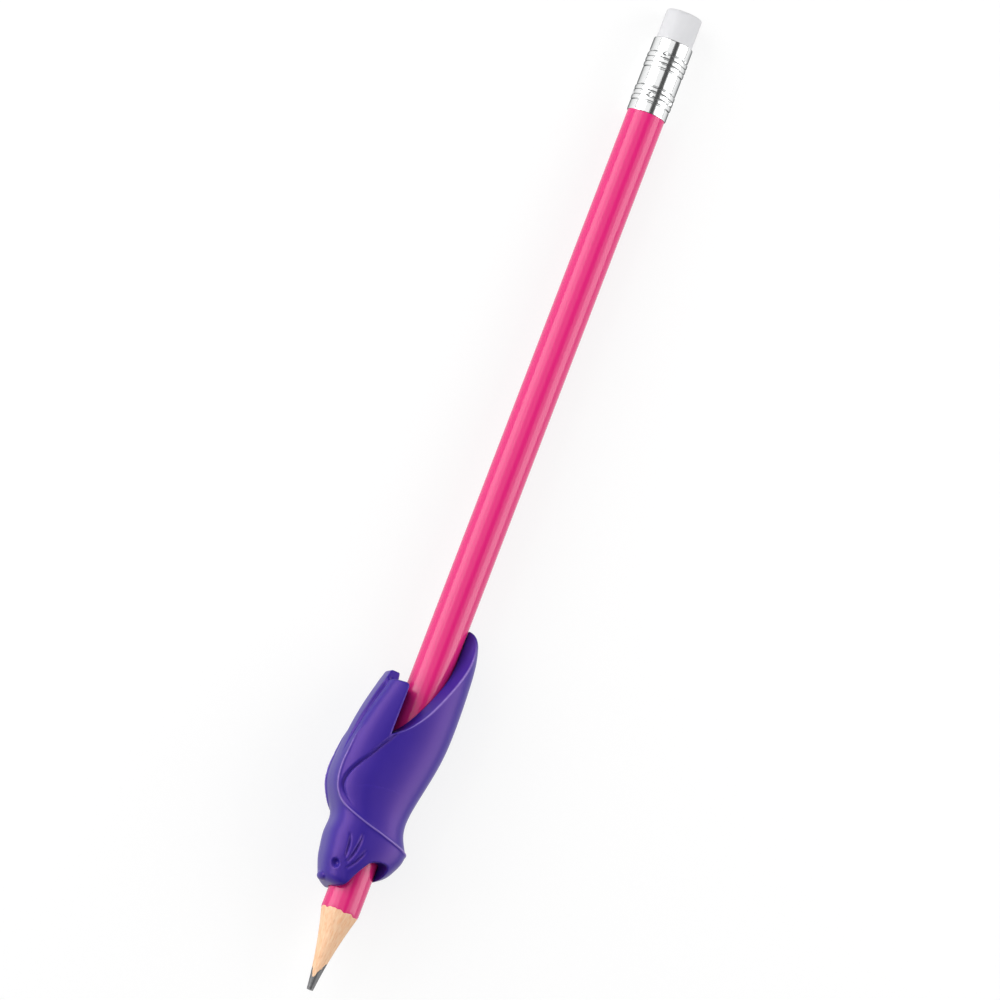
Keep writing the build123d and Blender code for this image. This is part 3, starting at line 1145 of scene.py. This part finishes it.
    def eraser_profiles(self, angles: np.ndarray) -> np.ndarray:
        """Profile of the eraser: a plug with a softened, slightly domed end, worn a little out of round.

        Args:
            angles: Angles about X.

        Returns:
            For each angle, the profile's points as station and radius.
        """
        shoulder = self.length - self.eraser_dome
        flat = self.plug_radius - self.eraser_edge
        hidden = [(self.eraser_start, 0.0), (self.eraser_start, self.plug_radius)]
        stations = np.linspace(self.ferrule_end, self.length - self.eraser_edge, self.eraser_rings)
        shown = [(station, self.plug_radius) for station in stations]
        for turn in np.linspace(0, math.pi / 2, self.eraser_bends + 1)[1:]:
            shown.append((shoulder - self.eraser_edge * (1 - math.sin(turn)),
                          flat + self.eraser_edge * math.cos(turn)))
        for share in (0.66, 0.33, 0.0):
            shown.append((self.length - self.eraser_dome * share ** 2, flat * share))
        worn = waves(angles, self.worn_waves)
        wear_and_painted_highlight = [(station, np.maximum(radius + worn * min(radius / self.plug_radius, 1) - self.worn_off, 0))
                  for station, radius in shown]
        return profile_at(angles, hidden + wear_and_painted_highlight)

    def build(self) -> None:
        """Makes and dresses every piece of the pencil."""
        whole = np.linspace(0, 2 * math.pi, self.turns, endpoint=False)
        for node, name, slot, finish, profiles in (
                ("graphite_core", "sharpened_core", "graphite", SharpenedGraphite(), self.core_profiles),
                ("lacquer_coat", "lacquered_barrel", "lacquer", DippedLacquer(), self.lacquer_profiles),
                ("ferrule", "crimped_ferrule", "aluminium", DrawnAluminium(), self.ferrule_profiles),
                ("eraser", "eraser_plug", "eraser_rubber", MouldedVinyl(), self.eraser_profiles)):
            points, faces = turned(profiles(whole), whole, True)
            piece = mesh_piece(name, points, faces, self.crease)
            place(piece, "pencil", finish.material(), node)
        wood = SharpenedBasswood().material()
        for node, start in (("casing_half_upper", 0.0), ("casing_half_lower", math.pi)):
            half = np.linspace(start, start + math.pi, self.turns // 2)
            points, faces = turned(self.casing_profiles(half), half, False)
            piece = mesh_piece(f"sharpened_{node}", points, faces, self.crease)
            place(piece, "pencil", wood, node)


# The studio

@dataclass(frozen=True)
class Hanging:
    """A soft box or a card that faces the pencil, in millimetres and degrees.

    It hangs at an angle about the pencil, from the lens to the picture's left, and faces a place along it.
    Its width is across the pencil and its length along it. A soft box also has a radiance, where 1 is
    paper white.
    """

    name: str
    around: float
    ahead: float
    distance: float
    width: float
    length: float
    radiance: float = 0.0


@dataclass
class Studio:
    """White paper, soft boxes beside the pencil, and a long lens at the photograph's angle."""

    # The photograph's view: scale, tilt of the tip towards the lens, and turn about the pencil
    pixels_per_mm: float = 5.615
    image_pixels: float = 1000.0
    tilt: float = 11.0
    turn: float = 17.0
    # Angle of the pencil from the picture's upright, and the picture's middle along and across it
    lean: float = 21.05
    middle_along: float = 93.53
    middle_across: float = -0.298
    camera_distance: float = 6000.0
    camera_reach: float = 100000.0
    sensor: float = 36.0

    floor_size: float = 3000.0
    floor_turn: float = 8.5
    floor_gap: float = 0.05
    white: str = "FFFFFF"
    room: float = 0.16

    # Name, angle about the pencil, place along it, distance, width, length and radiance
    boxes: tuple[Hanging, ...] = (
        Hanging("box_right", -79.0, 300.0, 500.0, 344.0, 700.0, 3.4),
        Hanging("box_front_right", -49.0, 300.0, 520.0, 202.0, 700.0, 1.2),
        Hanging("box_left", 66.0, 190.0, 500.0, 287.0, 960.0, 3.6),
        Hanging("box_front_left", 39.0, 300.0, 520.0, 202.0, 700.0, 2.2),
        Hanging("strip_left", 36.0, 300.0, 700.0, 40.0, 700.0, 1.2),
        Hanging("panel_front", 10.0, 300.0, 900.0, 580.0, 1200.0, 0.8))
    flag: Hanging = Hanging("flag_right", -22.0, 180.0, 420.0, 209.0, 900.0)

    def axes(self) -> tuple[Vector, Vector, Vector]:
        """Works out the view's directions in the frame.

        Returns:
            Towards the lens, along the pencil in the picture, and to its left.
        """
        tilt, turn = math.radians(self.tilt), math.radians(self.turn)
        up = Vector((0, math.sin(turn), math.cos(turn)))
        left = Vector((0, math.cos(turn), -math.sin(turn)))
        towards = math.cos(tilt) * up - math.sin(tilt) * Vector((1, 0, 0))
        along = math.cos(tilt) * Vector((1, 0, 0)) + math.sin(tilt) * up
        return towards, along, left

    def facing(self, hung: Hanging) -> Matrix:
        """Works out where a soft box or a card hangs.

        Args:
            hung: The soft box or card.

        Returns:
            Its matrix, with its X across the pencil, its Y along it and its Z away from it.
        """
        towards, along, left = self.axes()
        angle = math.radians(hung.around)
        out = math.cos(angle) * towards + math.sin(angle) * left
        across = along.cross(out).normalized()
        return (Matrix.Translation((along * hung.ahead + out * hung.distance) * MM)
                @ Matrix((across, along, out)).transposed().to_4x4())

    def hang_camera(self) -> None:
        """Sets a long lens where the photograph was taken from."""
        towards, along, left = self.axes()
        lean = math.radians(self.lean)
        right = math.sin(lean) * along - math.cos(lean) * left
        up = math.cos(lean) * along + math.sin(lean) * left
        data = bpy.data.cameras.new("camera")
        data.sensor_width = self.sensor
        data.lens = self.sensor * self.camera_distance * self.pixels_per_mm / self.image_pixels
        data.clip_end = self.camera_reach * MM
        camera = bpy.data.objects.new("camera", data)
        spot = along * self.middle_along + left * self.middle_across + towards * self.camera_distance
        camera.matrix_world = (Matrix.Translation(spot * MM)
                               @ Matrix((right, up, towards)).transposed().to_4x4())
        bpy.context.scene.collection.objects.link(camera)
        bpy.context.scene.camera = camera

    def lay_floor(self) -> None:
        """Lays the paper under the pencil, where the grip and the ferrule rest on it."""
        turn = math.radians(self.floor_turn)
        up = Vector((0, math.sin(turn), math.cos(turn)))
        across = Vector((0, math.cos(turn), -math.sin(turn)))
        rests = []
        for name in ("moulded_grip", "crimped_ferrule"):
            spots = [vertex.co / MM for vertex in bpy.data.objects[name].data.vertices]
            rests.append(min(spots, key=lambda spot: spot.dot(up)))
        grip, ferrule = rests
        rise = (ferrule.dot(up) - grip.dot(up)) / (ferrule.x - grip.x)
        base = grip.dot(up) - self.floor_gap
        half = self.floor_size / 2
        corners = [Vector((x, 0, 0)) + across * y + up * (base + rise * (x - grip.x))
                   for x, y in ((-half, half), (half, half), (half, -half), (-half, -half))]
        floor = mesh_piece("paper_sweep", np.array([list(corner) for corner in corners]), [(0, 3, 2, 1)])
        floor.data.materials.append(PaperSweep().material())

    def hang_box(self, box: Hanging) -> None:
        """Hangs a soft box, unseen by the lens.

        Args:
            box: Where it hangs, its size and its brightness.
        """
        data = bpy.data.lights.new(box.name, "AREA")
        data.shape = "RECTANGLE"
        data.size = box.width * MM
        data.size_y = box.length * MM
        data.energy = box.radiance * math.pi * data.size * data.size_y
        lamp = bpy.data.objects.new(box.name, data)
        lamp.visible_camera = False
        lamp.matrix_world = self.facing(box)
        bpy.context.scene.collection.objects.link(lamp)

    def hang_flag(self) -> None:
        """Hangs a grey card, unseen by the lens, which shows in bright metal as a dark stripe."""
        x, y = self.flag.width / 2, self.flag.length / 2
        corners = np.array([(-x, -y, 0.0), (x, -y, 0.0), (x, y, 0.0), (-x, y, 0.0)])
        card = mesh_piece(self.flag.name, corners, [(0, 1, 2, 3)])
        card.matrix_world = self.facing(self.flag)
        card.visible_camera = False
        card.data.materials.append(GreyCard().material())

    def set_world(self) -> None:
        """Sets a quiet grey room round the paper and the lamps."""
        world = bpy.data.worlds.new("grey_room")
        world.use_nodes = True
        tree = world.node_tree
        tree.nodes.clear()
        back = add_node(tree, "ShaderNodeBackground", {"Color": srgb(self.white), "Strength": self.room})
        add_node(tree, "ShaderNodeOutputWorld", {"Surface": back})
        bpy.context.scene.world = world

    def build(self) -> None:
        """Sets up the whole studio."""
        self.hang_camera()
        self.lay_floor()
        self.set_world()
        for box in self.boxes:
            self.hang_box(box)
        self.hang_flag()
        bpy.context.scene.view_settings.view_transform = "Standard"
        log.info("studio: camera, paper, a card and %d soft boxes in place", len(self.boxes))


def main() -> None:
    """Builds the pencil, the grip and the studio."""
    logging.basicConfig(level=logging.INFO, format="%(name)s: %(message)s")
    Pencil().build()
    AnimalGrip().build()
    Studio().build()


if __name__ == "__main__":
    main()
